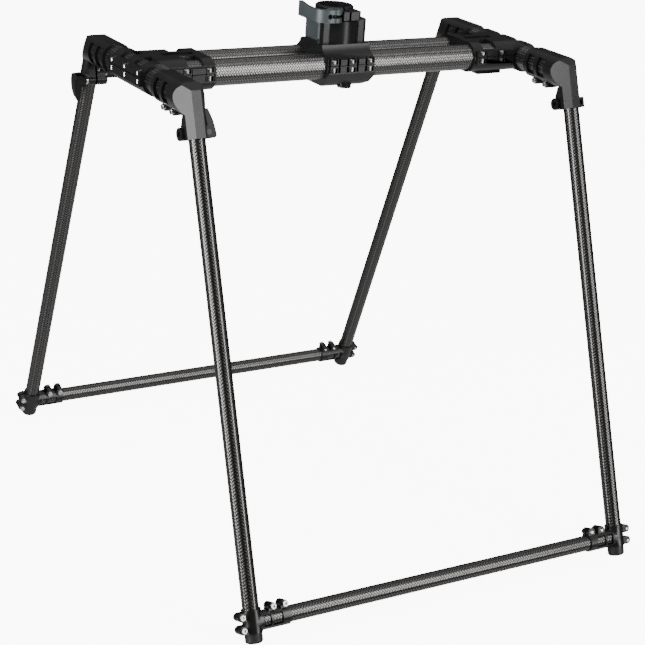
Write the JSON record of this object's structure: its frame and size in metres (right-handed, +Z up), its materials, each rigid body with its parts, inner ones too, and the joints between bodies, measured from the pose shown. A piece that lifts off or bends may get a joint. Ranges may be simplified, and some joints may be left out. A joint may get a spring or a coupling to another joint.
{
  "type": "gimbal stand",
  "caption": "Tube stand that holds a camera gimbal: twin booms with a cam-locked quick-release receiver, cast elbows and two splayed leg frames with skid tubes.",
  "frame": {"origin": "on the floor, midway between the four feet", "axes": "+X along the booms to the right, -Y to the front, +Z up"},
  "size_m": [0.4512, 0.5494, 0.505],
  "materials": {
    "carbon_tube": "clear-coated twill carbon fibre",
    "black_anodised": "satin black anodised",
    "grey_anodised": "satin slate grey anodised",
    "stainless": "bright stainless",
    "moulded_black": "fine moulded grain",
    "rubber_cap": "smooth"
  },
  "bodies": {
    "top_frame": {"boom_tube_front": "carbon_tube", "boom_tube_rear": "carbon_tube", "cross_tube_left": "carbon_tube", "cross_tube_right": "carbon_tube", "end_clamp_upper_left": "black_anodised", "end_clamp_lower_left": "black_anodised", "end_clamp_screws_left": "stainless", "end_clamp_nuts_left": "stainless", "end_clamp_upper_right": "black_anodised", "end_clamp_lower_right": "black_anodised", "end_clamp_screws_right": "stainless", "end_clamp_nuts_right": "stainless", "centre_clamp_upper": "black_anodised", "centre_clamp_lower": "black_anodised", "centre_clamp_screws": "stainless", "centre_clamp_nuts": "stainless", "receiver_body": "black_anodised", "release_spring": "stainless", "collar_pinch_bolt": "stainless", "cam_barrel": "stainless", "elbow_front_left": "black_anodised", "elbow_front_right": "black_anodised", "elbow_rear_left": "black_anodised", "elbow_rear_right": "black_anodised", "elbow_screws": "stainless", "leg_clamp_bolts": "stainless", "leg_clamp_pins": "stainless", "leg_clamp_washers": "stainless"},
    "front_leg_frame": {"skid_tube_front": "carbon_tube", "foot_screws_front": "stainless", "leg_front_left": "carbon_tube", "foot_front_left": "moulded_black", "foot_cap_front_left": "rubber_cap", "leg_front_right": "carbon_tube", "foot_front_right": "moulded_black", "foot_cap_front_right": "rubber_cap"},
    "rear_leg_frame": {"skid_tube_rear": "carbon_tube", "foot_screws_rear": "stainless", "leg_rear_left": "carbon_tube", "foot_rear_left": "moulded_black", "foot_cap_rear_left": "rubber_cap", "leg_rear_right": "carbon_tube", "foot_rear_right": "moulded_black", "foot_cap_rear_right": "rubber_cap"},
    "receiver_cam_lever": {"receiver_cam_lever": "grey_anodised"},
    "release_button": {"release_button": "grey_anodised"},
    "leg_lever_front_left": {"leg_lever_front_left": "black_anodised"},
    "leg_lever_front_right": {"leg_lever_front_right": "black_anodised"},
    "leg_lever_rear_left": {"leg_lever_rear_left": "black_anodised"},
    "leg_lever_rear_right": {"leg_lever_rear_right": "black_anodised"}
  },
  "joints": [
    {"name": "leg_lever_front_left_hinge", "type": "hinge", "parent": "top_frame", "child": "leg_lever_front_left", "pos_m": [-0.18715, -0.10441, 0.41826], "axis": [0, 0.9397, -0.342], "range_deg": [0, 90]},
    {"name": "leg_lever_front_right_hinge", "type": "hinge", "parent": "top_frame", "child": "leg_lever_front_right", "pos_m": [0.21885, -0.10441, 0.41826], "axis": [0, -0.342, -0.9397], "range_deg": [0, 90]},
    {"name": "leg_lever_rear_left_hinge", "type": "hinge", "parent": "top_frame", "child": "leg_lever_rear_left", "pos_m": [-0.21885, 0.10441, 0.41826], "axis": [0, 0.9397, 0.342], "range_deg": [0, 90]},
    {"name": "leg_lever_rear_right_hinge", "type": "hinge", "parent": "top_frame", "child": "leg_lever_rear_right", "pos_m": [0.18715, 0.10441, 0.41826], "axis": [0, -0.9397, -0.342], "range_deg": [0, 90]},
    {"name": "front_legs_slide", "type": "slide", "parent": "top_frame", "child": "front_leg_frame", "axis": [0, -0.342, -0.9397], "range_m": [0, 0.02]},
    {"name": "rear_legs_slide", "type": "slide", "parent": "top_frame", "child": "rear_leg_frame", "axis": [0, 0.342, -0.9397], "range_m": [0, 0.02]},
    {"name": "receiver_lever_hinge", "type": "hinge", "parent": "top_frame", "child": "receiver_cam_lever", "pos_m": [-0.015, -0.0205, 0.4968], "axis": [0, 0, 1], "range_deg": [0, 95]},
    {"name": "release_button_slide", "type": "slide", "parent": "top_frame", "child": "release_button", "axis": [1, 0, 0], "range_m": [0, 0.003], "stiffness_N_per_m": 900, "springref_m": -0.002}
  ]
}
